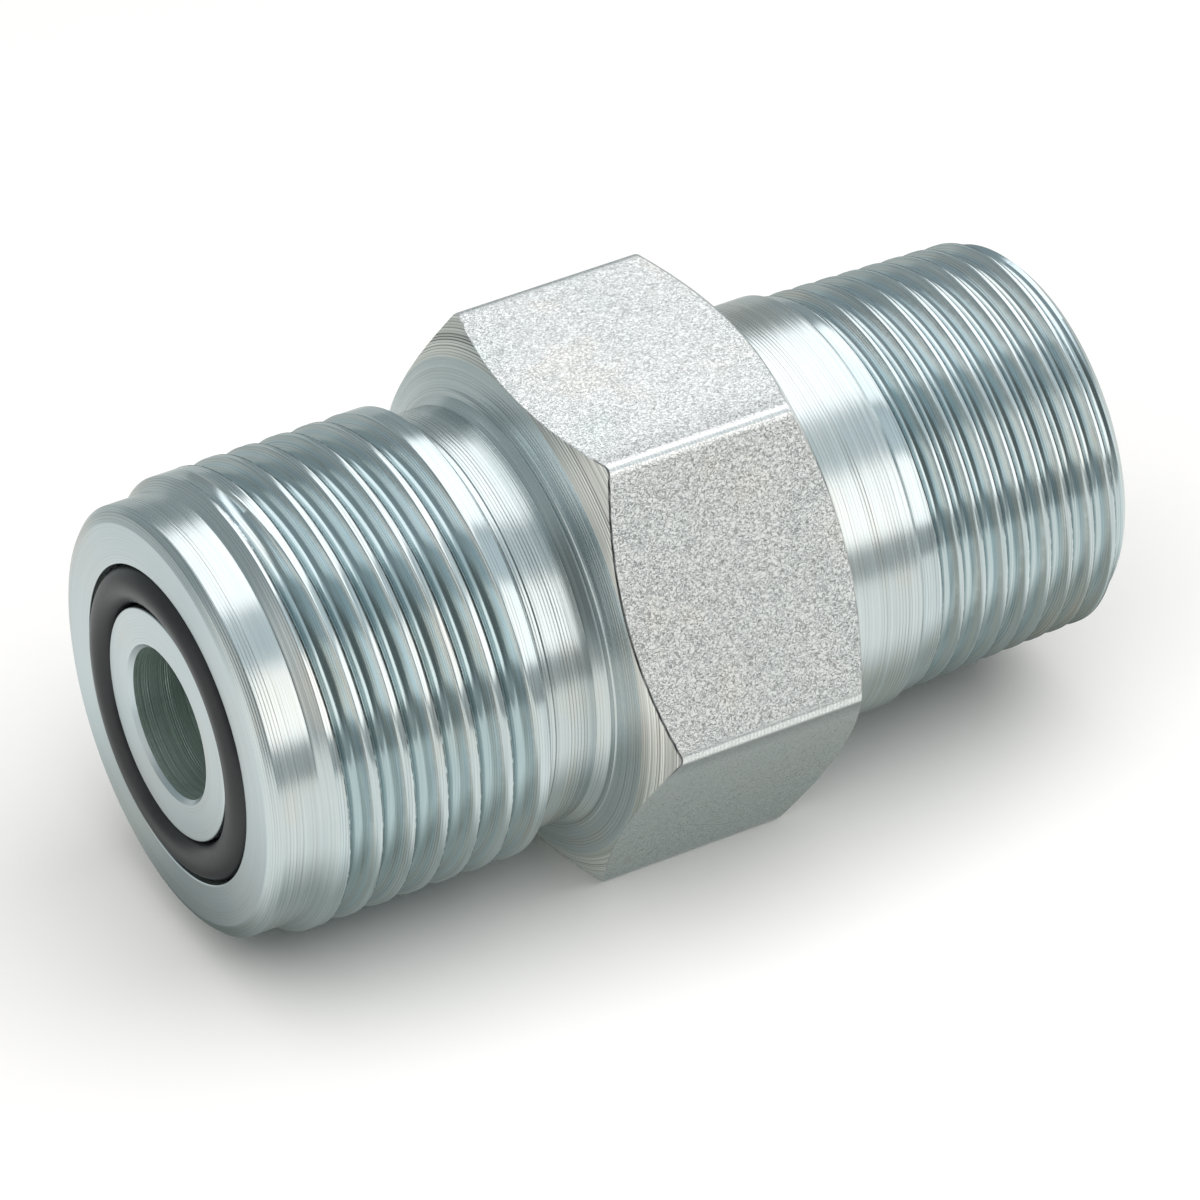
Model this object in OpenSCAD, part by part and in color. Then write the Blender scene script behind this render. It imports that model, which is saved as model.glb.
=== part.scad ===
// Face seal fitting: a straight adapter turned from hexagon bar. It has an O-ring face seal
// thread at one end and a tapered pipe thread at the other, with an O-ring in the seal face.
// Millimetres. The bore runs along X, from the seal face at X = 0. Hexagon flats face up and down.

/* [Face seal end] */
// Outside diameter of the face seal thread
seal_thread_d = 20.64; // [20.4:0.02:21]
// Pitch of the face seal thread
seal_pitch = 1.5875; // [1.4:0.0125:1.7]
// Width of the flat on top of the face seal thread
seal_crest = 0.38; // [0.3:0.02:0.5]
// Distance from the seal face to the first crest
seal_thread_start = 2.9; // [2.7:0.1:3.5]
// Length of the face seal thread
seal_thread_l = 10.2; // [10:0.1:11]
// Diameter of the flat seal face
seal_face_d = 18.22; // [17.6:0.02:18.8]
// Diameter of the plain collar in front of the thread
collar_d = 19.56; // [19.2:0.02:19.8]
// Outside diameter of the O-ring groove
groove_d = 14.5; // [14.5:0.05:15]
// Diameter of the boss inside the O-ring groove
boss_d = 10.6; // [10:0.05:10.6]
// Depth of the O-ring groove
groove_depth = 1.45; // [1.2:0.05:1.6]

/* [Hexagon] */
// Size across the flats
hex_af = 22.8; // [22:0.1:24]
// Length of the hexagon, between its two faces
hex_l = 11; // [9:0.1:14]
// Length of the plain land between the thread and the hexagon
neck_l = 3.55; // [3:0.05:6]
// Diameter of the plain land between the thread and the hexagon
neck_d = 19.1; // [18.6:0.05:19.3]
// Angle of the chamfer on the hexagon's corners
chamfer_angle = 30; // [20:1:35]

/* [Pipe thread end] */
// Diameter of the plain land behind the hexagon
land_d = 19.2; // [19:0.05:19.6]
// Length of the plain land behind the hexagon
land_l = 4.5; // [3:0.1:8]
// Outside diameter of the pipe thread at its large end
pipe_thread_d = 18.66; // [18.4:0.02:18.8]
// Pitch of the pipe thread
pipe_pitch = 1.15; // [1.1:0.01:1.3]
// Width of the flat on top of the pipe thread
pipe_crest = 0.24; // [0.2:0.01:0.3]
// Length of the pipe thread
pipe_thread_l = 11.2; // [10:0.1:14]
// Length over which the pipe thread's diameter shrinks by one unit
pipe_taper = 16; // [12:0.5:24]

/* [Flow bore] */
// Diameter of the bore through the fitting
bore_d = 6.9; // [5:0.1:8]
// Chamfer at each mouth of the bore
mouth_chamfer = 0.2; // [0.1:0.05:0.4]

/* [O-ring] */
// Section diameter of the O-ring
oring_section = 1.78; // [1.6:0.01:1.8]
// Clearance between the O-ring and the walls of its groove
oring_gap = 0.03; // [0.02:0.01:0.1]

/* [Hidden] */
$fn = 96;

// Small features that the cutting tools leave
face_edge = 0.45;
edge_bulge = 0.06;
edge_bulge_at = 0.36;
collar_rise = 0.55;
seal_runout = 0.45;
neck_undercut = 0.1;
shoulder_rise = 0.5;
shoulder_l = 0.65;
shoulder_radius = 0.35;
face_cone = 0.35;
corner_break = 0.09;
land_fillet = 0.4;
land_edge = 0.25;
end_chamfer = 0.85;
end_chamfer_l = 0.8;

// Stations along X
seal_thread_end = seal_thread_start + seal_thread_l;
neck_end = seal_thread_end + neck_l - shoulder_l;
hex_front = neck_end + shoulder_l + face_cone;
hex_back = hex_front + hex_l;
land_end = hex_back + land_l;
total_l = land_end + pipe_thread_l;
hex_corner_d = hex_af / cos(30);

// Thread form: sixty degree flanks with a flat root
flank = 30;
thread_steps = 48;
overcut = 0.1;
seal_root = 0.22;
pipe_root = 0.14;
seal_depth = (seal_pitch - seal_crest - seal_root) / 2 / tan(flank);
pipe_depth = (pipe_pitch - pipe_crest - pipe_root) / 2 / tan(flank);
// The tool enters and leaves the work over this angle
lead_in = 60;
// Angles about X, from the downward direction, where each groove starts and stops
seal_from = 150;
seal_to = floor((seal_thread_l - seal_crest) / seal_pitch) * 360 + 80;
pipe_from = 60;
// Centre of the first crest past the thread's start, and the turn at which the front is reached
first_crest = 0.3;
front_turn = 0.75;
// How far solids that are joined or cut run past each other
lap = 1;

function arc(centre, radius, from, to, steps = 8) =
    [for (i = [0 : steps]) let (a = from + (to - from) * i / steps)
        centre + radius * [cos(a), sin(a)]];

// Radius of the tapered blank at a distance along X
function pipe_r(x) = pipe_thread_d / 2 - (x - land_end) / pipe_taper / 2;

module along_x() {
    rotate([0, 90, 0]) children();
}

// A turned shape from points that hold radius and distance along X
module turned(points) {
    along_x() rotate_extrude() polygon(points);
}

// Everything in front of the hexagon: seal face, collar, thread blank, land and shoulder
module front_blank() {
    turned(concat(
        [[0, 0], [seal_face_d / 2, 0]],
        [[(seal_face_d + collar_d) / 4 + edge_bulge, face_edge * edge_bulge_at]],
        [[collar_d / 2, face_edge]],
        [[collar_d / 2, seal_thread_start - collar_rise]],
        [[seal_thread_d / 2, seal_thread_start]],
        [[seal_thread_d / 2, seal_thread_end]],
        [[neck_d / 2, seal_thread_end + seal_runout]],
        [[neck_d / 2, neck_end - neck_undercut]],
        [[neck_d / 2 - neck_undercut, neck_end]],
        arc([neck_d / 2 + shoulder_rise - shoulder_radius, neck_end + shoulder_radius],
            shoulder_radius, -90, 0),
        [[neck_d / 2 + shoulder_rise, hex_front], [0, hex_front]]));
}

// The turned envelope that chamfers both ends of the hexagon
module hex_envelope() {
    flat_r = hex_af / 2;
    outer_r = hex_corner_d / 2 - corner_break;
    chamfer_l = (outer_r - flat_r) * tan(chamfer_angle);
    turned([
        [0, neck_end + shoulder_l],
        [neck_d / 2 + shoulder_rise, neck_end + shoulder_l],
        [flat_r, hex_front],
        [outer_r, hex_front + chamfer_l],
        [outer_r, hex_back - chamfer_l],
        [flat_r, hex_back],
        [0, hex_back]]);
}

module hexagon() {
    intersection() {
        hex_envelope();
        translate([neck_end, 0, 0])
            along_x()
                rotate([0, 0, 30])
                    cylinder(d = hex_corner_d, h = hex_back - neck_end + lap, $fn = 6);
    }
}

// Everything behind the hexagon: fillet, land, tapered thread blank and end chamfer
module rear_blank() {
    turned(concat(
        [[0, hex_back - lap], [land_d / 2 + land_fillet, hex_back - lap]],
        arc([land_d / 2 + land_fillet, hex_back + land_fillet], land_fillet, 270, 180),
        [[land_d / 2, land_end - land_edge]],
        [[pipe_r(land_end), land_end]],
        [[pipe_r(total_l - end_chamfer_l), total_l - end_chamfer_l]],
        [[pipe_r(total_l) - end_chamfer, total_l], [0, total_l]]));
}

// Section of the thread groove at one step: two points in the air and two at the root
function groove_section(angle, x, surface_r, depth, root, fade) =
    let (outer_r = surface_r + overcut,
         root_r = surface_r + overcut / 2 - (depth + overcut / 2) * fade,
         half_root = root / 2,
         half_top = half_root + (outer_r - root_r) * tan(flank))
    [for (p = [[outer_r, -half_top], [root_r, -half_root], [root_r, half_root], [outer_r, half_top]])
        [p[0] * cos(angle), p[0] * sin(angle), x + p[1]]];

// Helical groove cutter. It runs from one angle to another, rising one pitch a turn, and
// passes the distance x_at at angle zero. radius_at gives the blank's radius at two places.
module thread_groove(from, to, x_at, pitch, depth, root, r_start, r_slope, lead_out) {
    step = 360 / thread_steps;
    count = ceil((to - from) / step);
    sections = [for (i = [0 : count])
        let (angle = from + i * step,
             x = x_at + pitch * angle / 360,
             fade = min(1, (angle - from) / lead_in,
                        lead_out ? (from + count * step - angle) / lead_in : 1))
        groove_section(angle, x, r_start + r_slope * (x - x_at), depth, root, max(0, fade))];
    points = [for (s = sections) for (p = s) p];
    sides = [for (i = [0 : count - 1]) for (j = [0 : 3])
        let (a = 4 * i + j, b = 4 * i + (j + 1) % 4)
        each [[a, b + 4, b], [a, a + 4, b + 4]]];
    last = 4 * count;
    ends = [[0, 1, 2], [0, 2, 3], [last, last + 2, last + 1], [last, last + 3, last + 2]];
    along_x() polyhedron(points, concat(sides, ends));
}

module seal_thread_groove() {
    // At the front the first groove lies half a pitch past the first crest
    x_at = seal_thread_start + first_crest + (1 / 2 - front_turn) * seal_pitch;
    thread_groove(seal_from, seal_to, x_at, seal_pitch, seal_depth, seal_root,
        seal_thread_d / 2, 0, true);
}

module pipe_thread_groove() {
    x_at = land_end + pipe_pitch / 2;
    turns = (total_l + pipe_pitch - x_at) / pipe_pitch;
    thread_groove(pipe_from, turns * 360, x_at, pipe_pitch, pipe_depth, pipe_root,
        pipe_r(x_at), -1 / pipe_taper / 2, false);
}

module oring_groove() {
    along_x() difference() {
        translate([0, 0, -lap]) cylinder(d = groove_d, h = groove_depth + lap);
        translate([0, 0, -2 * lap]) cylinder(d = boss_d, h = groove_depth + 3 * lap);
    }
}

module flow_bore() {
    along_x() {
        mouth_r = bore_d / 2 + mouth_chamfer + lap;
        mouth_l = mouth_chamfer + lap;
        translate([0, 0, -lap]) cylinder(d = bore_d, h = total_l + 2 * lap);
        translate([0, 0, -lap]) cylinder(r1 = mouth_r, r2 = bore_d / 2, h = mouth_l);
        translate([0, 0, total_l - mouth_chamfer]) cylinder(r1 = bore_d / 2, r2 = mouth_r, h = mouth_l);
    }
}

module fitting_body() {
    color([0.70, 0.74, 0.75]) difference() {
        union() {
            front_blank();
            hexagon();
            rear_blank();
        }
        seal_thread_groove();
        pipe_thread_groove();
        oring_groove();
        flow_bore();
    }
}

module o_ring() {
    centre_r = (groove_d + boss_d) / 4;
    color([0.06, 0.06, 0.06])
        along_x() translate([0, 0, groove_depth - oring_gap - oring_section / 2])
            rotate_extrude() translate([centre_r, 0]) circle(d = oring_section, $fn = 48);
}

fitting_body();
o_ring();
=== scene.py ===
import math

import bmesh
import bpy
from mathutils import Matrix, Vector


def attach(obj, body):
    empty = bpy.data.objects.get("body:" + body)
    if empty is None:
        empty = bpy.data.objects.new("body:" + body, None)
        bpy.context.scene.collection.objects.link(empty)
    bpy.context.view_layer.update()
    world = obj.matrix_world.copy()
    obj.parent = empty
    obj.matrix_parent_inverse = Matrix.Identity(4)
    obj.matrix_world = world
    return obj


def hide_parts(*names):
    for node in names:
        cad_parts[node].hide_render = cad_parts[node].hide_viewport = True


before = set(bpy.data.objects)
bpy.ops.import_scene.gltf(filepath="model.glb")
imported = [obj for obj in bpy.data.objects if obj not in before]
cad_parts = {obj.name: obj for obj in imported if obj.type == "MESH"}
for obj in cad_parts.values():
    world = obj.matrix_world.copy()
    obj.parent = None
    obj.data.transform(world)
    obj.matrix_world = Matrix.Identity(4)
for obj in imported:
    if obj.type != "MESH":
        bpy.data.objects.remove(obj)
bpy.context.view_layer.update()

# Sizes are in millimetres, as in the part's source, and become metres in the meshes
MM = 0.001
AXIS_X = Vector((1, 0, 0))

# Face seal end
SEAL_R = 10.32
SEAL_PITCH = 1.5875
SEAL_CREST = 0.38
SEAL_START = 2.9
SEAL_END = 13.1
SEAL_ROOT_R = 0.36
SEAL_BURR = 0.014
FACE_R = 9.11
COLLAR_R = 9.78
COLLAR_RISE = 0.55
FACE_EDGE = 0.45
FACE_ROUND = 0.05
EDGE_BULGE = 0.06
EDGE_BULGE_AT = 0.36
EDGE_BULGE_ROUND = 0.35
COLLAR_ROUND = 0.1
GROOVE_R = 7.25
BOSS_R = 5.3
GROOVE_DEPTH = 1.45
RIM_R = 0.07

# Neck and hexagon
NECK_R = 9.55
NECK_RUNOUT = 0.45
NECK_ROUND = 0.1
NECK_EDGE_X = 15.84
NECK_EDGE_DROP = 0.01
NECK_UNDERCUT = 0.08
NECK_UNDERCUT_ROUND = 0.03
NECK_LINE_X = 13.86
NECK_LINE_HALF = 0.04
NECK_LINE_DEPTH = 0.035
SHOULDER_X = 16.5
SHOULDER_STEP = 0.26
SHOULDER_STEP_ROUND = 0.05
SHOULDER_RISE = 0.5
HEX_FRONT = 17.0
HEX_BACK = 28.0
HEX_FLAT = 11.4
HEX_CORNER = 13.074
HEX_CHAMFER = math.radians(30)
HEX_EDGE_ROUND = 0.1
HEX_CLUSTER = 0.85
HEX_SPREAD_ROWS = 8
HEX_SPREAD_LAST = 0.97
HEX_BURR = 0.014

# Pipe thread end
LAND_R = 9.6
LAND_FILLET = 0.4
LAND_EDGE = 0.25
LAND_EDGE_ROUND = 0.05
LAND_END = 32.5
PIPE_R = 9.33
PIPE_PITCH = 1.15
PIPE_CREST = 0.24
PIPE_ROOT_R = 0.25
PIPE_BURR = 0.009
PIPE_SLOPE = -1 / 32
END_CHAMFER = 0.85
END_CHAMFER_L = 0.8
TOTAL_L = 43.7

# Bore and O-ring
BORE_R = 3.45
MOUTH = 0.2
RING_R = 6.275
RING_SECTION = 0.89
RING_X = 0.53

# Both threads: half the angle of a groove, and how far below the crest its flank's last two rows lie
FLANK = math.radians(30)
NEAR_TOP = 0.06
TOP_EDGE = 0.01
# Hollow between the two lips of a crest
CREST_HOLLOW = 0.012

# How strongly the pipe thread's roots are tinted and given painted shade, beside the other thread's
PIPE_FILM_AND_SHADE = 0.7

# Both grooves: where each starts and stops, in turns from the downward direction about X
LEAD_IN = 60 / 360
SEAL_FIRST = 2.80313
SEAL_FROM = 150 / 360
SEAL_TO = 2240 / 360
PIPE_FIRST = LAND_END + PIPE_PITCH / 2
PIPE_FROM = 60 / 360
PIPE_TO = 12.0
# The turns for which each thread has rows
SEAL_TURNS = range(-1, 8)
PIPE_TURNS = range(-1, 11)

# Meshing
COLUMNS = 240
ARC_STEPS = 5
HOLD = 0.06
MERGE_DISTANCE = 0.002
RING_STEPS = 40
SHARP_ANGLE = math.radians(32)

# Zones of the outline, and the finishes that its strips take
PLAIN, SEAL_THREAD, HEXAGON, PIPE_THREAD = range(4)
TURNED, THREAD, FLATS, CHAMFER, BORE, FACE, RUBBER = range(7)
ROW_VALUES = ("zone", "finish", "turn", "side", "fixed", "flank", "crest_share", "drop", "share",
              "edge", "line", "warp")


# Node trees that are written as sums

class Field:
    """A value in a node tree. Sums with it add Math nodes to that tree."""

    def __init__(self, tree, socket):
        self.tree = tree
        self.socket = socket

    def sum_of(self, operation, *others):
        node = self.tree.nodes.new("ShaderNodeMath")
        node.operation = operation
        for place, value in zip(node.inputs, (self, *others)):
            feed(self.tree, place, value)
        return Field(self.tree, node.outputs["Value"])

    def __add__(self, other):
        return self.sum_of("ADD", other)

    def __sub__(self, other):
        return self.sum_of("SUBTRACT", other)

    def __mul__(self, other):
        return self.sum_of("MULTIPLY", other)

    def __truediv__(self, other):
        return self.sum_of("DIVIDE", other)

    def floor(self):
        return self.sum_of("FLOOR")

    def wrap(self, low, high):
        return self.sum_of("WRAP", high, low)

    def least(self, other):
        return self.sum_of("MINIMUM", other)

    def most(self, other):
        return self.sum_of("MAXIMUM", other)

    def clamp(self, low=0.0, high=1.0):
        return self.most(low).least(high)

    def smooth_least(self, other, blend):
        return self.sum_of("SMOOTH_MIN", other, blend)

    def equals(self, number):
        return self.sum_of("COMPARE", number, 0.5)

    def above(self, other):
        return self.sum_of("GREATER_THAN", other)

    def sine(self):
        return self.sum_of("SINE")

    def cosine(self):
        return self.sum_of("COSINE")

    def smooth(self):
        kept = self.clamp()
        return kept * kept * (kept * -2.0 + 3.0)

    def absolute(self):
        return self.sum_of("ABSOLUTE")

    def power(self, exponent):
        return self.sum_of("POWER", exponent)

    def mix(self, other, share):
        return self + (other - self) * share


def feed(tree, place, value):
    """Links a field or socket into place, or sets place to a plain value."""
    if isinstance(value, Field):
        tree.links.new(value.socket, place)
    elif isinstance(value, bpy.types.NodeSocket):
        tree.links.new(value, place)
    else:
        place.default_value = value


def add_node(tree, kind, inputs=None, **settings):
    """A new node with its settings made and its inputs fed."""
    node = tree.nodes.new(kind)
    for name, value in settings.items():
        setattr(node, name, value)
    for name, value in (inputs or {}).items():
        if isinstance(name, int):
            place = node.inputs[name]
        else:
            place = next(s for s in node.inputs if s.name == name and s.enabled)
        feed(tree, place, value)
    return node


def output_of(node, name):
    return next(s for s in node.outputs if s.name == name and s.enabled)


def parts_of(tree, vector):
    """The X, Y and Z of a vector, as fields."""
    parts = add_node(tree, "ShaderNodeSeparateXYZ", {"Vector": vector})
    return [Field(tree, parts.outputs[axis]) for axis in "XYZ"]


def add_object(name, data):
    """A new object in the scene."""
    made = bpy.data.objects.new(name, data)
    bpy.context.scene.collection.objects.link(made)
    return made


def new_group(name, kind, inputs, outputs):
    """A node group with named sockets, and the fields that its inputs give."""
    tree = bpy.data.node_groups.new(name, kind)
    for label, socket_kind, value in inputs:
        socket = tree.interface.new_socket(label, in_out="INPUT", socket_type=socket_kind)
        if value is not None:
            socket.default_value = value
    for label, socket_kind in outputs:
        tree.interface.new_socket(label, in_out="OUTPUT", socket_type=socket_kind)
    entry = tree.nodes.new("NodeGroupInput")
    leave = tree.nodes.new("NodeGroupOutput")
    fields = {label: Field(tree, entry.outputs[label]) for label, _, _ in inputs}
    return tree, fields, leave


def finish_group(tree, leave, results):
    for label, value in results.items():
        feed(tree, leave.inputs[label], value)
    return tree


def place_group(tree, group, kind, values):
    """The group placed in a tree with its inputs fed: its outputs by name, as fields."""
    node = tree.nodes.new(kind)
    node.node_tree = group
    for label, value in values.items():
        feed(tree, node.inputs[label], value)
    return {socket.name: Field(tree, socket) for socket in node.outputs}


# Outlines: each row is one ring of the turned piece

def row(x, r, finish, **values):
    made = dict.fromkeys(ROW_VALUES, 0.0)
    made.update(values, x=x, r=r, finish=finish)
    return made


def rounded(corners, finish):
    """Rows through corners (x, r, radius), with each rounded corner held by a ring on both sides."""
    made = []
    for i, (x, r, radius) in enumerate(corners):
        here = Vector((x, r))
        if radius == 0 or i in (0, len(corners) - 1):
            made.append(row(x, r, finish))
            continue
        before = Vector(corners[i - 1][:2]) - here
        after = Vector(corners[i + 1][:2]) - here
        reach_before, reach_after = before.length, after.length
        before.normalize()
        after.normalize()
        half = before.angle(after) / 2
        back_off = radius / math.tan(half)
        centre = here + (before + after).normalized() * radius / math.sin(half)
        start = here + before * back_off - centre
        end = here + after * back_off - centre
        if reach_before > back_off + 2 * HOLD:
            held = here + before * (back_off + HOLD)
            made.append(row(held.x, held.y, finish))
        for step in range(ARC_STEPS + 1):
            way = start.slerp(end, step / ARC_STEPS).normalized() * radius
            made.append(row(centre.x + way.x, centre.y + way.y, finish))
        if reach_after > back_off + 2 * HOLD:
            held = here + after * (back_off + HOLD)
            made.append(row(held.x, held.y, finish))
    return made


def groove_half(pitch, crest, root_r, burr):
    """Half a groove's section from its root outwards: fixed offset, flank offset, crest share, drop."""
    half_top = (pitch - crest) / 2
    tangent = root_r * math.cos(FLANK)
    apex = half_top / math.tan(FLANK)
    centre = apex - 2 * root_r
    points = [(root_r * math.sin(a), 0, 0, centre + root_r * math.cos(a)) for a in (0, FLANK, 2 * FLANK)]
    points.append((tangent, half_top - tangent - NEAR_TOP * math.tan(FLANK), 0, NEAR_TOP))
    points.append((tangent, half_top - tangent, 0, TOP_EDGE))
    for crest_share, drop in ((0.16, -burr), (0.34, 0.004), (0.62, CREST_HOLLOW), (1, CREST_HOLLOW)):
        points.append((tangent, half_top - tangent, crest_share, drop))
    return points


def thread_rows(zone, pitch, crest, root_r, burr, turns):
    """Rows that follow the helix, one groove after another, each from crest to crest. The lip in front
    of each groove has the painted dark line of shade."""
    half = groove_half(pitch, crest, root_r, burr)
    section = [(-1, p) for p in reversed(half[1:-1])] + [(1, p) for p in half]
    lip = (TOP_EDGE, -burr)
    return [row(0, 0, THREAD, zone=zone, turn=turn, side=side, fixed=p[0], flank=p[1],
                crest_share=p[2], drop=p[3], line=side < 0 and p[3] in lip)
            for turn in turns for side, p in section]


def hexagon_rows():
    """Rows of the hexagon. Share runs 0 to 1 over the front chamfer, to 2 over the flats and to 3 over the
    back chamfer. Edge is a distance past that place, drop a notch or burr, and line the painted dark edge
    of shade."""
    shares = (0, 0.04, 0.3, 0.6, 0.84, 0.94)
    front = [(share, 0, 0, 0, CHAMFER) for share in shares] + [(1, -0.035, 0, 1, CHAMFER)]
    lip = [(1, -0.008, -HEX_BURR, 1, FLATS), (1, 0.02, HEX_BURR, 1, FLATS), (1, 0.06, 0, 1, FLATS)]
    flat = [(1, 0.13, 0, 0, FLATS), (1.5, 0, 0, 0, FLATS), (2, -0.13, 0, 0, FLATS), (2, -0.05, 0, 0, FLATS)]
    back = [(3 - share, 0, 0, 0, CHAMFER) for share in (1, *reversed(shares))]
    return [row(0, 0, finish, zone=HEXAGON, share=share, edge=edge, drop=drop, line=line, warp=1)
            for share, edge, drop, line, finish in front + lip + flat + back]


def spreading(start, end, to_hexagon):
    """Rows along a face on which the columns turn little by little towards the hexagon's, or away."""
    made = []
    for share in [(step + 1) / HEX_SPREAD_ROWS for step in range(HEX_SPREAD_ROWS - 1)] + [HEX_SPREAD_LAST]:
        place = Vector(start).lerp(Vector(end), share)
        made.append(row(place.x, place.y, TURNED, warp=share if to_hexagon else 1 - share))
    return made


def fitting_rows():
    end_r = PIPE_R + PIPE_SLOPE * (TOTAL_L - LAND_END) - END_CHAMFER
    shoulder_r = NECK_R + SHOULDER_RISE
    rows = rounded([(MOUTH, BORE_R, 0), (0, BORE_R + MOUTH, 0)], FACE)
    rows += rounded([(0, BORE_R + MOUTH, 0), (0, BOSS_R, RIM_R), (GROOVE_DEPTH, BOSS_R, 0)], FACE)[1:]
    rows += rounded([(GROOVE_DEPTH, BOSS_R, 0), (GROOVE_DEPTH, GROOVE_R, 0)], BORE)[1:]
    rows += rounded([
        (GROOVE_DEPTH, GROOVE_R, 0), (0, GROOVE_R, RIM_R), (0, FACE_R, FACE_ROUND),
        (FACE_EDGE * EDGE_BULGE_AT, (FACE_R + COLLAR_R) / 2 + EDGE_BULGE, EDGE_BULGE_ROUND),
        (FACE_EDGE, COLLAR_R, COLLAR_ROUND), (SEAL_START - COLLAR_RISE, COLLAR_R, COLLAR_ROUND),
        (SEAL_START, SEAL_R, 0)], FACE)[1:]
    # Past the edge of the flat face the finish is that of the collar
    for made in rows:
        if made["x"] > 0.02 and made["r"] > FACE_R:
            made["finish"] = TURNED
    rows += thread_rows(SEAL_THREAD, SEAL_PITCH, SEAL_CREST, SEAL_ROOT_R, SEAL_BURR, SEAL_TURNS)
    rows += rounded([
        (SEAL_END, SEAL_R, 0), (SEAL_END + NECK_RUNOUT, NECK_R, NECK_ROUND),
        (NECK_LINE_X - NECK_LINE_HALF, NECK_R, 0), (NECK_LINE_X, NECK_R - NECK_LINE_DEPTH, 0),
        (NECK_LINE_X + NECK_LINE_HALF, NECK_R, 0), (NECK_EDGE_X - 0.03, NECK_R, 0),
        (NECK_EDGE_X, NECK_R - NECK_EDGE_DROP, 0),
        (NECK_EDGE_X + 0.04, NECK_R - NECK_UNDERCUT, NECK_UNDERCUT_ROUND),
        (SHOULDER_X - 0.1, NECK_R + SHOULDER_STEP, SHOULDER_STEP_ROUND),
        (SHOULDER_X - 0.02, shoulder_r, 0), (SHOULDER_X + 0.02, shoulder_r + 0.03, 0),
        (SHOULDER_X + 0.05, shoulder_r + 0.08, 0)], TURNED)
    rows += spreading((SHOULDER_X + 0.05, shoulder_r + 0.08), (HEX_FRONT, HEX_FLAT), True)
    rows += hexagon_rows()
    rows += spreading((HEX_BACK, HEX_FLAT), (HEX_BACK, LAND_R + LAND_FILLET + 2 * HOLD), False)
    rows += rounded([
        (HEX_BACK, HEX_FLAT, 0), (HEX_BACK, LAND_R, LAND_FILLET),
        (LAND_END - LAND_EDGE, LAND_R, LAND_EDGE_ROUND), (LAND_END, PIPE_R, 0)], TURNED)[1:]
    rows += thread_rows(PIPE_THREAD, PIPE_PITCH, PIPE_CREST, PIPE_ROOT_R, PIPE_BURR, PIPE_TURNS)
    rows += rounded([
        (TOTAL_L, end_r, 0), (TOTAL_L, end_r - HOLD, 0),
        (TOTAL_L, BORE_R + MOUTH + HOLD, 0), (TOTAL_L, BORE_R + MOUTH, 0)], FACE)
    bore = (TOTAL_L - MOUTH, TOTAL_L * 0.8, TOTAL_L * 0.5, TOTAL_L * 0.2, MOUTH)
    return rows + [row(x, BORE_R, BORE) for x in bore]


def ring_rows():
    turns = [2 * math.pi * i / RING_STEPS for i in range(RING_STEPS + 1)]
    return [row(RING_X - RING_SECTION * math.cos(a), RING_R + RING_SECTION * math.sin(a), RUBBER)
            for a in turns]


# Geometry nodes

def thread_group():
    """Where a point of a threaded row lies: its distance along X and its radius."""
    number = "NodeSocketFloat"
    names = ("Turn", "Angle", "Side", "Fixed", "Flank", "Crest Share", "Drop", "Pitch", "First Groove",
             "From", "To", "Lead In", "Crest Width", "Root Radius", "Start", "End", "Radius", "Slope",
             "End Chamfer", "End Chamfer Length")
    tree, g, leave = new_group("cut_thread", "GeometryNodeTree", [(n, number, 0.0) for n in names],
                               [(n, number) for n in ("Distance", "Radius", "Depth", "Cut")])
    total = g["Turn"] + g["Angle"]
    fade = ((total - g["From"]) / g["Lead In"]).clamp() * ((g["To"] - total) / g["Lead In"]).clamp()
    tangent = g["Root Radius"] * math.cos(FLANK)
    flank_width = (g["Pitch"] - g["Crest Width"]) / 2 - tangent
    to_crest = g["Pitch"] / 2 - tangent - fade * flank_width
    spread = g["Fixed"] + fade * g["Flank"] + g["Crest Share"] * to_crest
    free_x = g["First Groove"] + g["Pitch"] * total + g["Side"] * spread
    inside = free_x.above(g["Start"]) * (g["End"] - free_x).above(0.0)
    x = free_x.most(g["Start"]).least(g["End"])
    line = g["Radius"] + g["Slope"] * (x - g["Start"])
    into_chamfer = (x - (g["End"] - g["End Chamfer Length"])).most(0.0)
    blank = line - into_chamfer * g["End Chamfer"] / g["End Chamfer Length"]
    cutting = fade * inside
    cut = g["Drop"].most(0.0) * cutting
    burr = g["Drop"].least(0.0) * cutting
    radius = (line - cut).least(blank) - burr
    return finish_group(tree, leave, {"Distance": x, "Radius": radius, "Depth": line - radius,
                                      "Cut": cutting * (into_chamfer * -4.0 + 1.0).clamp()})


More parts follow.
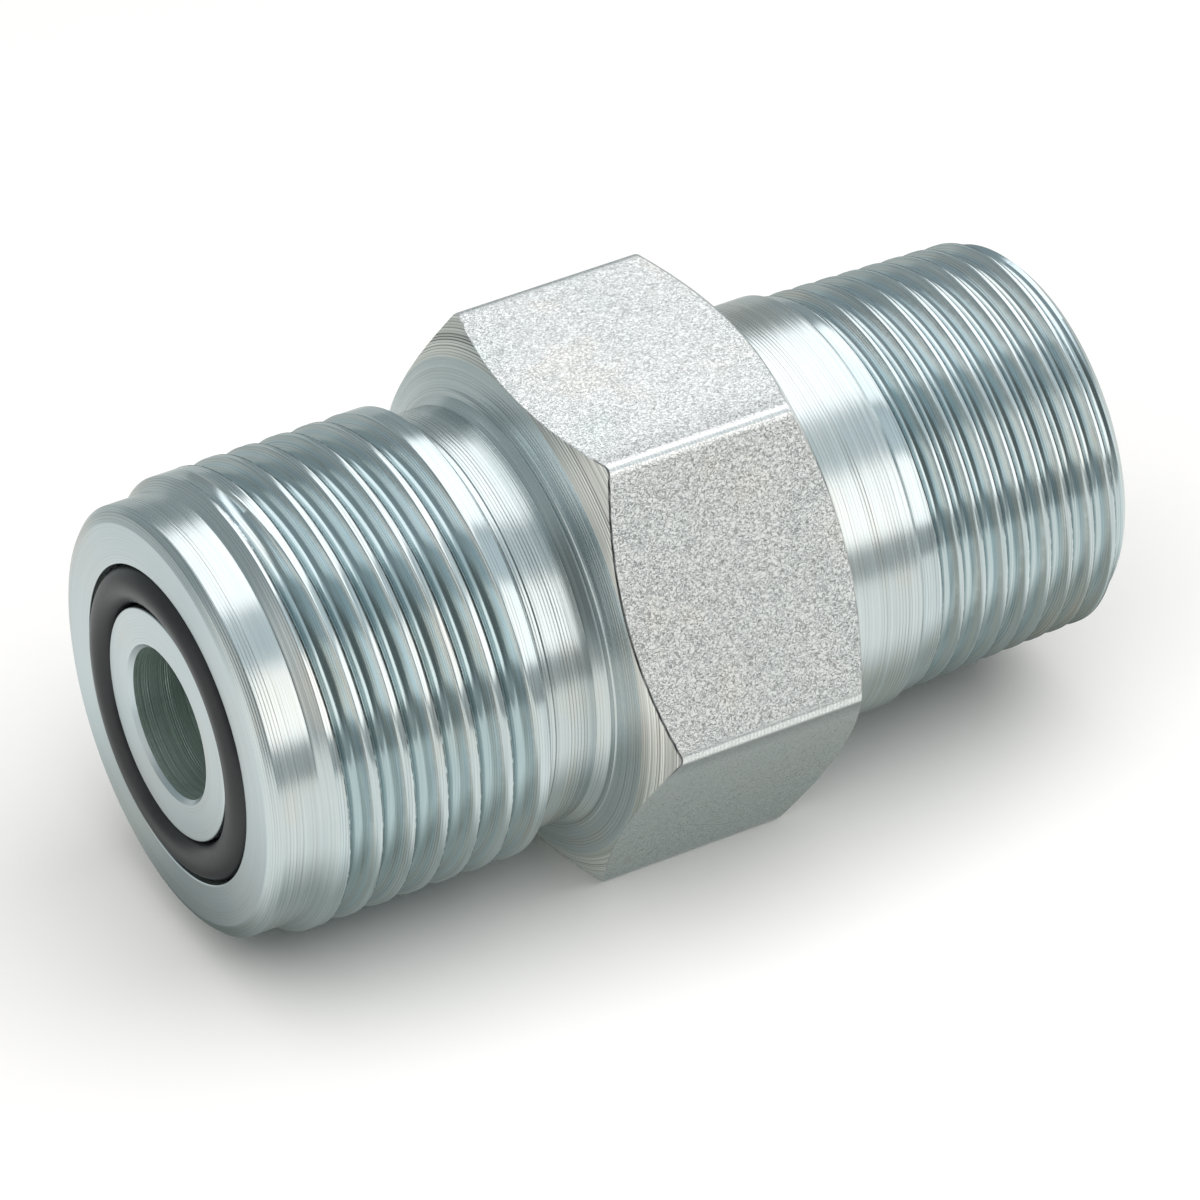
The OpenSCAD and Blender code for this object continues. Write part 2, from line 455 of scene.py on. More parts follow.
def hexagon_group():
    """Where a point of a hexagon row lies. The columns crowd together at the corners."""
    number = "NodeSocketFloat"
    names = ("Angle", "Share", "Edge", "Flat Radius", "Corner Radius", "Front", "Back", "Chamfer Slope",
             "Edge Round", "Cluster", "Drop")
    tree, g, leave = new_group("chamfered_hexagon", "GeometryNodeTree", [(n, number, 0.0) for n in names],
                               [("Distance", number), ("Radius", number), ("Angle", number)])
    angle = g["Angle"] + (g["Angle"] * 6.0).sine() * g["Cluster"] / 6.0
    from_middle = angle.wrap(-math.pi / 6, math.pi / 6)
    reach = (g["Flat Radius"] / from_middle.cosine()).smooth_least(g["Corner Radius"], g["Edge Round"])
    span = (reach - g["Flat Radius"]) * g["Chamfer Slope"]
    flat_l = g["Back"] - g["Front"] - span * 2.0
    narrowing = ((span * 1.5).clamp() + g["Share"].above(1.6)).least(1.0)
    edge = g["Edge"].most(0.0) + g["Edge"].least(0.0) * narrowing
    x = (g["Front"] + span * g["Share"].clamp() + flat_l * (g["Share"] - 1.0).clamp()
         + span * (g["Share"] - 2.0).clamp() + edge)
    from_end = (x - g["Front"]).least(g["Back"] - x)
    cone = g["Flat Radius"] + from_end / g["Chamfer Slope"]
    ragged = add_node(tree, "ShaderNodeTexNoise", {"W": angle * 30.0, "Scale": 1.0}, noise_dimensions="1D")
    burr = g["Drop"] * (Field(tree, output_of(ragged, "Fac")) * 3.0 - 0.5)
    radius = reach.smooth_least(cone, g["Edge Round"]) - burr
    return finish_group(tree, leave, {"Distance": x, "Radius": radius, "Angle": angle})


def lathe_tree(finishes):
    """Turns an outline round X, cuts both threads and the hexagon, and gives each strip its finish."""
    inputs = [("Outline", "NodeSocketGeometry", None), ("Columns", "NodeSocketInt", COLUMNS),
              ("Hexagon Across Flats", "NodeSocketFloat", 2 * HEX_FLAT),
              ("Seal Thread Pitch", "NodeSocketFloat", SEAL_PITCH),
              ("Pipe Thread Pitch", "NodeSocketFloat", PIPE_PITCH)]
    tree, g, leave = new_group("turned_piece", "GeometryNodeTree", inputs,
                               [("Geometry", "NodeSocketGeometry")])
    tree.is_modifier = True
    size = add_node(tree, "GeometryNodeAttributeDomainSize", {"Geometry": g["Outline"]}, component="MESH")
    count = Field(tree, size.outputs["Point Count"])
    wide = g["Columns"] + 1.0
    grid = add_node(tree, "GeometryNodeMeshGrid", {"Vertices X": count, "Vertices Y": wide})
    index = Field(tree, add_node(tree, "GeometryNodeInputIndex").outputs["Index"])
    ring = (index / wide + 0.0001).floor()
    column = index - ring * wide
    face_ring = (index / g["Columns"] + 0.0001).floor()
    turn_share = column / g["Columns"]

    def sampled(kind, value, place):
        node = add_node(tree, "GeometryNodeSampleIndex", {"Geometry": g["Outline"], "Index": place},
                        data_type=kind)
        tree.links.new(value, next(s for s in node.inputs if s.name == "Value" and s.enabled))
        return next(s for s in node.outputs if s.enabled)

    def value_of(name, place=ring):
        named = add_node(tree, "GeometryNodeInputNamedAttribute", {"Name": name}, data_type="FLOAT")
        return Field(tree, sampled("FLOAT", named.outputs["Attribute"], place))

    place = sampled("FLOAT_VECTOR", add_node(tree, "GeometryNodeInputPosition").outputs[0], ring)
    x, _, r = parts_of(tree, place)
    zone = value_of("zone")
    thread = thread_group()
    common = {"Turn": value_of("turn"), "Angle": turn_share, "Side": value_of("side"),
              "Fixed": value_of("fixed"), "Flank": value_of("flank"),
              "Crest Share": value_of("crest_share"), "Drop": value_of("drop"), "Lead In": LEAD_IN}
    seal = place_group(tree, thread, "GeometryNodeGroup", dict(common, **{
        "Pitch": g["Seal Thread Pitch"], "First Groove": SEAL_FIRST, "From": SEAL_FROM, "To": SEAL_TO,
        "Crest Width": SEAL_CREST, "Root Radius": SEAL_ROOT_R, "Start": SEAL_START, "End": SEAL_END,
        "Radius": SEAL_R, "Slope": 0.0, "End Chamfer": 0.0, "End Chamfer Length": 1.0}))
    pipe = place_group(tree, thread, "GeometryNodeGroup", dict(common, **{
        "Pitch": g["Pipe Thread Pitch"], "First Groove": PIPE_FIRST, "From": PIPE_FROM, "To": PIPE_TO,
        "Crest Width": PIPE_CREST, "Root Radius": PIPE_ROOT_R, "Start": LAND_END, "End": TOTAL_L,
        "Radius": PIPE_R, "Slope": PIPE_SLOPE, "End Chamfer": END_CHAMFER,
        "End Chamfer Length": END_CHAMFER_L}))
    plain_angle = turn_share * math.tau
    hexagon = place_group(tree, hexagon_group(), "GeometryNodeGroup", {
        "Angle": plain_angle, "Share": value_of("share"), "Edge": value_of("edge"),
        "Flat Radius": g["Hexagon Across Flats"] / 2.0, "Corner Radius": HEX_CORNER, "Front": HEX_FRONT,
        "Back": HEX_BACK, "Chamfer Slope": math.tan(HEX_CHAMFER), "Edge Round": HEX_EDGE_ROUND,
        "Cluster": HEX_CLUSTER, "Drop": value_of("drop")})
    for number, made in ((SEAL_THREAD, seal), (HEXAGON, hexagon), (PIPE_THREAD, pipe)):
        here = zone.equals(number)
        x = x.mix(made["Distance"], here)
        r = r.mix(made["Radius"], here)
    angle = plain_angle.mix(hexagon["Angle"], value_of("warp")) - math.pi / 2
    point = add_node(tree, "ShaderNodeCombineXYZ", {
        "X": x * MM, "Y": r * angle.cosine() * MM, "Z": r * angle.sine() * MM})
    depth = (seal["Depth"] * zone.equals(SEAL_THREAD)
             + pipe["Depth"] * zone.equals(PIPE_THREAD) * PIPE_FILM_AND_SHADE)
    cut = (zone.equals(HEXAGON) + zone.equals(SEAL_THREAD) * seal["Cut"]
           + zone.equals(PIPE_THREAD) * pipe["Cut"])
    shape = grid.outputs["Mesh"]
    # The shaded edge line marks where painted shade draws the dark lips and edges
    stored = (("groove_depth", depth, "POINT"), ("shaded_edge_line", value_of("line") * cut, "POINT"),
              ("finish", value_of("finish", face_ring), "FACE"))
    for name, value, domain in stored:
        kept = add_node(tree, "GeometryNodeStoreNamedAttribute", {
            "Geometry": shape, "Name": name, "Value": value}, data_type="FLOAT", domain=domain)
        shape = kept.outputs["Geometry"]
    moved = add_node(tree, "GeometryNodeSetPosition", {"Geometry": shape, "Position": point.outputs[0]})
    merged = add_node(tree, "GeometryNodeMergeByDistance", {
        "Geometry": moved.outputs["Geometry"], "Distance": MERGE_DISTANCE * MM})
    outwards = add_node(tree, "GeometryNodeFlipFaces", {"Mesh": merged.outputs["Geometry"]})
    real = add_node(tree, "GeometryNodeRealizeInstances", {"Geometry": outwards.outputs["Mesh"]})
    finish = add_node(tree, "GeometryNodeInputNamedAttribute", {"Name": "finish"}, data_type="FLOAT")
    geometry = real.outputs["Geometry"]
    for number, material in finishes.items():
        chosen = Field(tree, finish.outputs["Attribute"]).equals(number)
        painted = add_node(tree, "GeometryNodeSetMaterial", {
            "Geometry": geometry, "Selection": chosen, "Material": material})
        geometry = painted.outputs["Geometry"]
    return finish_group(tree, leave, {"Geometry": geometry})


def keep_used_materials(mesh):
    """Drops the empty and unused material slots that the tree leaves."""
    used = sorted({face.material_index for face in mesh.polygons})
    kept = [mesh.materials[place] for place in used]
    places = {old: new for new, old in enumerate(used)}
    indices = [places[face.material_index] for face in mesh.polygons]
    mesh.materials.clear()
    for material in kept:
        mesh.materials.append(material)
    mesh.polygons.foreach_set("material_index", indices)


def turned_piece(name, rows, tree):
    """The outline's mesh run through the lathe tree and made a plain mesh."""
    outline = bpy.data.meshes.new(name + "_outline")
    outline.from_pydata([(p["x"], 0, p["r"]) for p in rows], [(i, i + 1) for i in range(len(rows) - 1)], [])
    for value in ROW_VALUES:
        stored = outline.attributes.new(value, "FLOAT", "POINT")
        stored.data.foreach_set("value", [float(p[value]) for p in rows])
    source = add_object(name + "_source", outline)
    modifier = source.modifiers.new("lathe", "NODES")
    modifier.node_group = tree
    for item in tree.interface.items_tree:
        if item.name == "Columns" and item.in_out == "INPUT":
            modifier[item.identifier] = COLUMNS
    evaluated = source.evaluated_get(bpy.context.evaluated_depsgraph_get())
    mesh = bpy.data.meshes.new_from_object(evaluated)
    mesh.name = name
    keep_used_materials(mesh)
    source.modifiers.clear()
    bpy.data.objects.remove(source)
    mesh.shade_smooth()
    mesh.set_sharp_from_angle(angle=SHARP_ANGLE)
    return add_object(name, mesh)


# Finishes

# Turned steel: feed lines beside the fine lines, how much painted shade darkens them, and the tint's drift
FEED_SHARE = 0.9
FEED_SHADE = 0.6
PLATING_DRIFT = 160.0
# Threads: the film's change of tint with depth, in radians per mm, then painted shade in the roots and on
# the torn lips
FILM_TURNS = 17.0
ROOT_DEPTH = 0.8
ROOT_SHADE_SHARE = 0.72
LIP_TEAR = 2600.0
LIP_SHADE_SHARE = 0.85
# Flats: the peel's scale per metre, its stretch along X, distortion, contrast, painted shade in its hollows
# and depth
PEEL_SCALE = 8200.0
PEEL_STRETCH = 0.75
PEEL_TWIST = 0.9
PEEL_CONTRAST = 18.0
PEEL_HOLLOW_SHADE = 0.46
PEEL_DEPTH = 0.0065
# The flats' lightness, and how much painted shade darkens the flats towards the front
FLAT_LIGHT = 1.01
FRONT_PAINTED_SHADE = 0.27
# The painted highlight on the ridge between two flats, and the notches in it and in the painted dark edge
RIDGE_WIDTH = 0.12
RIDGE_HIGHLIGHT_SHARE = 0.6
NOTCHES_PER_MM = 5.5


def own_place(tree):
    """Where a point lies in its object's own coordinates, in metres."""
    return add_node(tree, "ShaderNodeTexCoord").outputs["Object"]


def in_mm(tree, place):
    scaled = add_node(tree, "ShaderNodeVectorMath", {0: place, "Scale": 1 / MM}, operation="SCALE")
    return scaled.outputs["Vector"]


def stored_value(tree, name):
    """A value that the lathe tree stored in the mesh."""
    return Field(tree, add_node(tree, "ShaderNodeAttribute", attribute_name=name).outputs["Fac"])


def noise(tree, place, **inputs):
    """Noise of 0 to 1, as a field."""
    made = add_node(tree, "ShaderNodeTexNoise", dict(inputs, Vector=place))
    return Field(tree, made.outputs["Fac"])


def blended(tree, share, first, second, way="MIX"):
    """Two colours mixed, or multiplied, by a share."""
    node = add_node(tree, "ShaderNodeMix", {"Factor": share, "A": first, "B": second}, data_type="RGBA",
                    blend_type=way)
    return output_of(node, "Result")


def turning_marks_group():
    """Lines that a cutting tool leaves: they run round X and change slowly along their length."""
    number = "NodeSocketFloat"
    tree, g, leave = new_group("turning_marks", "ShaderNodeTree",
                               [("Lines per mm", number, 6.0), ("Breaks", number, 1.0)],
                               [("Fine", number), ("Broad", number), ("Feed", number)])
    x, y, z = parts_of(tree, in_mm(tree, own_place(tree)))
    r = (y * y + z * z).power(0.5)

    def lines(share, breaks, detail):
        point = add_node(tree, "ShaderNodeCombineXYZ", {
            "X": x * g["Lines per mm"] * share, "Y": y / r * breaks, "Z": z / r * breaks})
        made = add_node(tree, "ShaderNodeTexNoise", {
            "Vector": point.outputs[0], "W": r * g["Lines per mm"] * share, "Scale": 1.0,
            "Detail": detail, "Roughness": 0.6}, noise_dimensions="4D")
        return made.outputs["Fac"]

    broad = Field(tree, lines(0.22, g["Breaks"] * 0.5, 1.0))
    feed_path = (x + r * 0.8) * g["Lines per mm"] * (FEED_SHARE * math.tau)
    feed_line = (feed_path.sine() * 0.5 + 0.5).power(5.0) * ((broad - 0.42) * 5.0).clamp()
    return finish_group(tree, leave, {"Fine": lines(1.0, g["Breaks"], 1.5), "Broad": broad,
                                      "Feed": feed_line})


def plating_group():
    """The tint of a zinc plating: three shades that drift into each other."""
    colour = "NodeSocketColor"
    tree, g, leave = new_group("zinc_tint", "ShaderNodeTree", [
        ("Cool", colour, (0.52, 0.59, 0.60, 1)), ("Plain", colour, (0.60, 0.65, 0.66, 1)),
        ("Warm", colour, (0.67, 0.655, 0.61, 1)), ("Marks", "NodeSocketFloat", 0.5)], [("Color", colour)])
    drift = noise(tree, own_place(tree), Scale=PLATING_DRIFT, Detail=2.0)
    share = drift * 0.7 + g["Marks"] * 0.3
    cooler = blended(tree, ((share - 0.3) * 5.0).clamp(), g["Cool"], g["Plain"])
    return finish_group(tree, leave, {
        "Color": blended(tree, ((share - 0.54) * 6.0).clamp(), cooler, g["Warm"])})


def new_material(name):
    material = bpy.data.materials.new(name)
    material.use_nodes = True
    tree = material.node_tree
    shader = next(n for n in tree.nodes if n.type == "BSDF_PRINCIPLED")
    return material, tree, shader


def round_tangent(tree):
    """The direction in which the turning lines run."""
    around = add_node(tree, "ShaderNodeVectorMath", {0: tuple(AXIS_X), 1: own_place(tree)},
                      operation="CROSS_PRODUCT")
    return around.outputs["Vector"]


def bump(tree, height, depth):
    """A normal bumped by a height from 0 to 1 that stands for depth millimetres."""
    node = add_node(tree, "ShaderNodeBump", {"Height": height, "Distance": depth * MM, "Strength": 1.0})
    return node.outputs["Normal"]


def shaded_in_hollows(tree, colour, marks, strength):
    """A colour with painted shade in the hollows of the turning lines."""
    shade = (marks["Fine"] - 0.5) * strength + 1.0 - marks["Feed"] * (strength * FEED_SHADE)
    return blended(tree, 1.0, colour, shade, "MULTIPLY")


def steel(name, groups, *, lines, breaks, roughness, spread, depth, anisotropic, tints=(), metallic=1.0,
          shade=0.5):
    """Plated steel that was turned: lines per mm, breaks in them round one turn, roughness and how far
    it spreads, the lines' depth in mm, and how much painted shade darkens their hollows."""
    material, tree, shader = new_material(name)
    marks = place_group(tree, groups["marks"], "ShaderNodeGroup", {"Lines per mm": lines, "Breaks": breaks})
    tint = place_group(tree, groups["tint"], "ShaderNodeGroup", dict(tints, Marks=marks["Broad"]))
    colour = shaded_in_hollows(tree, tint["Color"], marks, shade)
    feed(tree, shader.inputs["Base Color"], colour)
    feed(tree, shader.inputs["Roughness"], ((marks["Fine"] - 0.5) * spread + roughness).clamp(0.05, 0.9))
    shader.inputs["Metallic"].default_value = metallic
    shader.inputs["Anisotropic"].default_value = anisotropic
    shader.inputs["Anisotropic Rotation"].default_value = 0.25
    feed(tree, shader.inputs["Tangent"], round_tangent(tree))
    height = marks["Fine"] * 0.6 + marks["Broad"] * 0.8 - marks["Feed"] * 0.3
    feed(tree, shader.inputs["Normal"], bump(tree, height, depth))
    return material, tree, shader, colour


def turned_steel(groups):
    return steel("turned_steel", groups, lines=7.0, breaks=0.8, roughness=0.25, spread=0.14, depth=0.024,
                 anisotropic=0.6, shade=0.45)[0]


def chamfer_steel(groups):
    """The hexagon's chamfers, cut with a coarser feed and warmer in tint."""
    tints = {"Cool": (0.68, 0.70, 0.67, 1), "Plain": (0.77, 0.76, 0.72, 1), "Warm": (0.82, 0.78, 0.74, 1)}
    return steel("chamfer_steel", groups, tints=tints, lines=7.0, breaks=0.4, roughness=0.3, spread=0.15,
                 depth=0.03, anisotropic=0.5, shade=1.7)[0]


def face_steel(groups):
    tints = {"Cool": (0.54, 0.61, 0.64, 1), "Plain": (0.59, 0.64, 0.66, 1), "Warm": (0.61, 0.63, 0.63, 1)}
    return steel("face_steel", groups, tints=tints, lines=10.0, breaks=0.5, roughness=0.32, spread=0.08,
                 depth=0.004, anisotropic=0.4, shade=0.2)[0]


def bore_steel(groups):
    tints = {"Cool": (0.46, 0.56, 0.52, 1), "Plain": (0.58, 0.68, 0.64, 1), "Warm": (0.66, 0.71, 0.66, 1)}
    return steel("bore_steel", groups, tints=tints, lines=10.0, breaks=0.3, roughness=0.36, spread=0.2,
                 depth=0.03, anisotropic=0.3, metallic=0.85, shade=0.7)[0]


def thread_steel(groups):
    """Bright flanks with a tinted film, painted teal shade in the roots, and pale crests with slightly torn
    lips.
    """
    material, tree, shader, colour = steel("thread_steel", groups, lines=8.0, breaks=1.6, roughness=0.19,
                                           spread=0.12, depth=0.006, anisotropic=0.45)
    depth = stored_value(tree, "groove_depth")
    film = (depth * FILM_TURNS).sine() * 0.5 + 0.5
    film_tint = blended(tree, film, (0.92, 1.0, 1.05, 1), (1.01, 0.985, 0.96, 1))
    filmed = blended(tree, 1.0, colour, film_tint, "MULTIPLY")
    # Painted shade: the roots turn a darker teal as the groove deepens
    root = (depth / ROOT_DEPTH).clamp().power(1.5) * ROOT_SHADE_SHARE
    root_shaded = blended(tree, root, filmed, (0.35, 0.45, 0.46, 1))
    torn = noise(tree, own_place(tree), Scale=LIP_TEAR, Detail=2.0)
    # Painted shade: a dark, torn line along the front lip of each crest
    lip = (stored_value(tree, "shaded_edge_line") * 1.3).clamp() * ((torn - 0.33) * 5.0).clamp()
    feed(tree, shader.inputs["Base Color"], blended(tree, lip * LIP_SHADE_SHARE, root_shaded, (0.07, 0.085, 0.085, 1)))
    return material


def flat_steel(groups):
    """Bar stock that keeps its drawn skin: a fine peel of short wandering ridges, with painted shade in
    its hollows. Painted shade makes the flats towards the front a little darker and draws a dark line at
    their chamfer, and a painted highlight lies on the ridges between flats."""
    material, tree, shader = new_material("flat_steel")
    where = own_place(tree)
    stretched = add_node(tree, "ShaderNodeMapping", {"Vector": where, "Scale": (PEEL_STRETCH, 1.0, 1.0)})
    ridges = noise(tree, stretched.outputs["Vector"], Scale=PEEL_SCALE, Detail=1.0, Roughness=0.6,
                   Distortion=PEEL_TWIST)
    slow = noise(tree, where, Scale=500.0, Detail=2.0)
    peel = ((ridges - 0.5) * PEEL_CONTRAST).absolute().clamp().power(0.8)
    tint = place_group(tree, groups["tint"], "ShaderNodeGroup", {
        "Cool": (0.59, 0.63, 0.63, 1), "Plain": (0.63, 0.65, 0.65, 1), "Warm": (0.67, 0.66, 0.63, 1),
        "Marks": slow})
    x, across, up = parts_of(tree, where)
    # Painted shade: the flats that face the front are darker
    front = (across / -HEX_FLAT / MM * 5.0 - 2.0).smooth() * (up / MM + 1.5).clamp()
    from_axis = (across * across + up * up).power(0.5) / MM
    ridge = ((from_axis - HEX_CORNER + RIDGE_WIDTH) * 9.0).clamp()
    notches = (x * (NOTCHES_PER_MM * math.tau / MM)).sine() * 0.25 + 0.75
    # Painted shade: a dark notched line along the chamfer edge, mostly on the flats towards the front
    painted_dark_edge = (stored_value(tree, "shaded_edge_line") * 1.5).clamp() * notches * (front * 0.95 + 0.05)
    # Painted shade in the peel's hollows and on the flats towards the front, lighter on the ridge
    darker = ((ridge * -0.2 + PEEL_HOLLOW_SHADE) * (peel * -1.0 + 1.0)
              + front * (ridge * -0.25 + FRONT_PAINTED_SHADE))
    # Painted highlight: the ridge between two flats turns pale
    skin = blended(tree, ridge * notches * RIDGE_HIGHLIGHT_SHARE, tint["Color"], (0.95, 0.95, 0.95, 1))
    shade = blended(tree, 1.0, skin, darker * -1.0 + FLAT_LIGHT, "MULTIPLY")
    feed(tree, shader.inputs["Base Color"], blended(tree, painted_dark_edge, shade, (0.05, 0.05, 0.05, 1)))
    feed(tree, shader.inputs["Roughness"], peel * -0.1 + 0.32)
    shader.inputs["Metallic"].default_value = 1.0
    feed(tree, shader.inputs["Normal"], bump(tree, peel * (ridge * -0.5 + 1.0), PEEL_DEPTH))
    return material


def rubber():
    """Black moulded rubber with a satin skin."""
    material, tree, shader = new_material("ring_rubber")
    fine = noise(tree, own_place(tree), Scale=2500.0, Detail=2.0)
    shade = blended(tree, fine, (0.010, 0.010, 0.012, 1), (0.020, 0.020, 0.023, 1))
    feed(tree, shader.inputs["Base Color"], shade)
    feed(tree, shader.inputs["Roughness"], fine * 0.12 + 0.3)
    feed(tree, shader.inputs["Normal"], bump(tree, fine, 0.003))
    return material


# Studio: one lamp lights the floor and the rubber, and the tent is what the metal reflects

STUDIO_X = 21.0
# The table as a painted reflection: its paper ends in front, painted shade dims it behind, and a painted
# shadow darkens it under the fitting
TABLE_Y = -100.0
TABLE_SLANT = 0.028
TABLE_EDGE_FADE = 0.15
TABLE_EDGE_TONE = (0.36, 0.40, 0.40, 1)
TABLE_LIFT = 0.02
PAPER_TONE = (1.0, 1.03, 1.0, 1)
BACK_PAINTED_SHADE_TONE = (0.54, 0.58, 0.57, 1)
BACK_SHADE_FROM = 10.0
BACK_SHADE_FADE = 45.0
PAINTED_SHADOW_TONE = (0.37, 0.41, 0.39, 1)
UNDER_PAINTED_SHADOW_TONE = (0.15, 0.17, 0.16, 1)
UNDER_SHADOW_HALF = 2.0
UNDER_SHADOW_FADE = 7.0
PAINTED_SHADOW_REACH = 10.0
# The floor, the room's own light, and the tent
GROUND_Z = -HEX_FLAT
FLOOR_HALF = 2500.0
ROOM_LIGHT = 0.10
TENT_RADIUS = 600.0
ROOM_TONE = (0.345, 0.395, 0.405, 1)
# The dark spot where the camera stands: its direction, the cosine of its edge, and how fast it fades
CAMERA_SIDE = (-0.399, -0.682, 0.613)
CAMERA_SPOT = 0.78
CAMERA_SPOT_FADE = 7.0
CAMERA_TONE = (0.15, 0.17, 0.165, 1)

# Panels of the tent. Angles round X, in degrees: 0 is behind, 90 overhead, 180 in front. Reach is the
# direction's X part, and slant turns the panel's long edges.
PANELS = [
    dict(angles=(100, 128), reach=(-0.2, 0.95), slant=10, feather=10, tone=(0.69, 0.78, 0.81, 1)),
    dict(angles=(35, 97), reach=(-0.05, 0.95), slant=10, feather=7, tone=(1.8, 1.8, 1.8, 1)),
    dict(angles=(128, 169), reach=(0.02, 0.9), slant=18, feather=5, tone=(1.75, 1.73, 1.68, 1)),
    dict(angles=(172, 190), reach=(-0.6, 1.1), slant=18, feather=5, tone=(0.41, 0.45, 0.45, 1)),
    dict(angles=(-90, 270), reach=(-1.3, -0.90), slant=0, feather=6, tone=(0.98, 0.97, 0.93, 1)),
]


def within(value, ends, feather):
    """A mask that is 1 between two ends and fades out round each of them."""
    low, high = ends
    return ((value - low) / feather + 0.5).smooth() * ((value * -1.0 + high) / feather + 0.5).smooth()


def reflection_card(name, mesh, paint):
    """A thing that only shows as a reflection. Paint gives its colour from its own coordinates."""
    material, tree, shader = new_material(name + "_cloth")
    light = add_node(tree, "ShaderNodeEmission", {"Color": paint(tree, own_place(tree)), "Strength": 1.0})
    leave = next(n for n in tree.nodes if n.type == "OUTPUT_MATERIAL")
    tree.links.new(light.outputs["Emission"], leave.inputs["Surface"])
    tree.nodes.remove(shader)
    material.cycles.emission_sampling = "NONE"
    mesh.materials.append(material)
    card = add_object(name, mesh)
    card.visible_camera = False
    card.visible_diffuse = False
    card.visible_transmission = False
    card.visible_shadow = False
    return card


def tent_colour(tree, where):
    """Pale and dark panels by direction from the middle of the tent."""
    way = add_node(tree, "ShaderNodeVectorMath", {0: where}, operation="NORMALIZE").outputs["Vector"]
    x, y, z = parts_of(tree, way)
    angle = z.sum_of("ARCTAN2", y) * (180 / math.pi)
    colour = ROOM_TONE
    for panel in PANELS:
        turned = (angle - (x - 0.4) * panel["slant"]).wrap(-90, 270)
        feather = panel["feather"]
        mask = within(turned, panel["angles"], feather) * within(x, panel["reach"], feather / 60)
        colour = blended(tree, mask, colour, panel["tone"])
    aim = add_node(tree, "ShaderNodeVectorMath", {0: way, 1: CAMERA_SIDE}, operation="DOT_PRODUCT")
    near = ((Field(tree, aim.outputs["Value"]) - CAMERA_SPOT) * CAMERA_SPOT_FADE).smooth()
    return blended(tree, near, colour, CAMERA_TONE)


def table_colour(tree, where):
    """Pale paper with the fitting's shadow painted in, darkest under it and dimmer behind it, that ends in
    a dark edge in front.
    """
    x, y, _ = parts_of(tree, in_mm(tree, where))
    aside = (x * -1.0).most(x - TOTAL_L).most(0.0)
    across = (y.absolute() - LAND_R).most(0.0)
    away = (aside * aside + across * across).power(0.5)
    # Painted shadow of the fitting, darkest right under it
    shade = blended(tree, ((y.absolute() - UNDER_SHADOW_HALF) / UNDER_SHADOW_FADE).smooth(), UNDER_PAINTED_SHADOW_TONE, PAINTED_SHADOW_TONE)
    paper = blended(tree, ((y - BACK_SHADE_FROM) / BACK_SHADE_FADE).smooth(), PAPER_TONE, BACK_PAINTED_SHADE_TONE)
    colour = blended(tree, (away / PAINTED_SHADOW_REACH).smooth(), shade, paper)
    beyond = ((y + x * TABLE_SLANT - TABLE_Y) * -TABLE_EDGE_FADE).smooth()
    return blended(tree, beyond, colour, TABLE_EDGE_TONE)


def square(name, half, z):
    """A level square of that half width at that height, in millimetres."""
    mesh = bpy.data.meshes.new(name)
    corners = [(-half, -half, z), (half, -half, z), (half, half, z), (-half, half, z)]
    mesh.from_pydata([[part * MM for part in corner] for corner in corners], [], [(0, 1, 2, 3)])
    return mesh


def tent():
    """A dome of panels, and the table top as the metal sees it, with the fitting's shadow painted in."""
    shape = bmesh.new()
    bmesh.ops.create_icosphere(shape, subdivisions=4, radius=TENT_RADIUS * MM)
    dome = bpy.data.meshes.new("studio_tent")
    shape.to_mesh(dome)
    shape.free()
    reflection_card("studio_tent", dome, tent_colour).location = AXIS_X * STUDIO_X * MM
    table = square("table_reflection", TENT_RADIUS, GROUND_Z + TABLE_LIFT)
    reflection_card("table_reflection", table, table_colour)


def softbox(name, angle, lean, width, length, distance, level):
    """A rectangular lamp that faces the fitting, and whose surface has that brightness. Angle is in
    degrees round X, as for the panels, and lean is its offset along X as a share of its distance."""
    turn = math.radians(angle)
    outwards = Vector((0, math.cos(turn), math.sin(turn)))
    place = outwards * distance + AXIS_X * (STUDIO_X + lean * distance)
    turned = Matrix((AXIS_X, outwards.cross(AXIS_X), outwards)).transposed().to_4x4()
    lamp = bpy.data.lights.new(name, "AREA")
    lamp.shape = "RECTANGLE"
    lamp.size = length * MM
    lamp.size_y = width * MM
    lamp.energy = level * math.pi * lamp.size * lamp.size_y
    thing = add_object(name, lamp)
    thing.matrix_world = Matrix.Translation(place * MM) @ turned
    thing.visible_camera = False
    thing.visible_glossy = False


def ground():
    mesh = square("studio_floor", FLOOR_HALF, GROUND_Z)
    material, _, shader = new_material("floor_paper")
    shader.inputs["Base Color"].default_value = (0.93, 0.922, 0.905, 1)
    shader.inputs["Roughness"].default_value = 1.0
    shader.inputs["Specular IOR Level"].default_value = 0.0
    mesh.materials.append(material)
    floor = add_object("studio_floor", mesh)


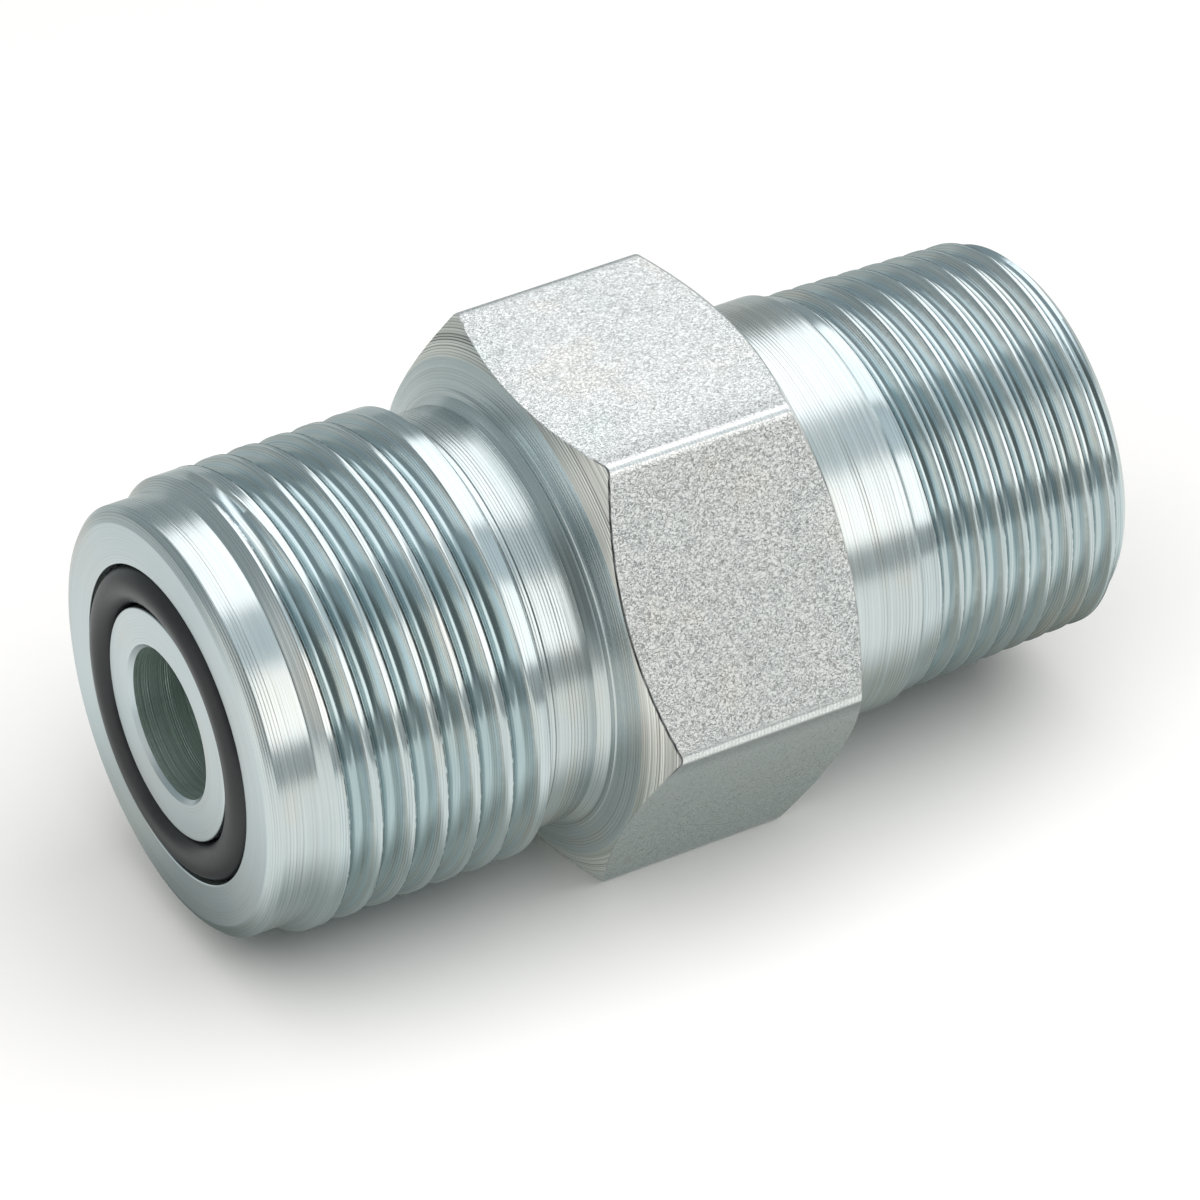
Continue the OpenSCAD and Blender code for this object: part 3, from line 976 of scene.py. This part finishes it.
def room():
    world = bpy.data.worlds.new("studio_room")
    world.use_nodes = True
    background = world.node_tree.nodes["Background"]
    background.inputs["Color"].default_value = (1.0, 1.0, 1.0, 1)
    background.inputs["Strength"].default_value = ROOM_LIGHT
    bpy.context.scene.world = world


def studio():
    room()
    ground()
    tent()
    softbox("overhead_softbox", angle=102, lean=-0.1, width=620, length=1100, distance=420, level=2.15)


# Camera, as fitted to the photo's outline

CAMERA_AIM = Vector((21.098, -0.737, -0.756)) * MM
CAMERA_DISTANCE = 376.2 * MM
CAMERA_AZIMUTH = math.radians(-30.322)
CAMERA_ELEVATION = math.radians(37.836)
CAMERA_ROLL = math.radians(0.5404)
CAMERA_LENS = 256.86
SENSOR = 36.0


def photo_camera():
    data = bpy.data.cameras.new("photo_camera")
    data.lens = CAMERA_LENS
    data.sensor_width = SENSOR
    data.clip_start = 0.01
    data.clip_end = 20
    level = math.cos(CAMERA_ELEVATION)
    ahead = Vector((-math.sin(CAMERA_AZIMUTH) * level, math.cos(CAMERA_AZIMUTH) * level,
                    -math.sin(CAMERA_ELEVATION)))
    level_right = ahead.cross(Vector((0, 0, 1))).normalized()
    level_up = level_right.cross(ahead)
    right = level_right * math.cos(CAMERA_ROLL) + level_up * math.sin(CAMERA_ROLL)
    up = right.cross(ahead)
    camera = add_object("photo_camera", data)
    turn = Matrix((right, up, -ahead)).transposed().to_4x4()
    camera.matrix_world = Matrix.Translation(CAMERA_AIM - ahead * CAMERA_DISTANCE) @ turn
    bpy.context.scene.camera = camera


# The object

def build():
    groups = {"marks": turning_marks_group(), "tint": plating_group()}
    finishes = {
        TURNED: turned_steel(groups), THREAD: thread_steel(groups), FLATS: flat_steel(groups),
        CHAMFER: chamfer_steel(groups), BORE: bore_steel(groups), FACE: face_steel(groups),
        RUBBER: rubber()}
    tree = lathe_tree(finishes)
    body = turned_piece("plated_fitting", fitting_rows(), tree)
    ring = turned_piece("seal_ring", ring_rows(), tree)
    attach(body, "root")
    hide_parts("fitting_body")
    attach(ring, "root")
    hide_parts("o_ring")


build()
studio()
photo_camera()
bpy.context.scene.view_settings.view_transform = "Standard"
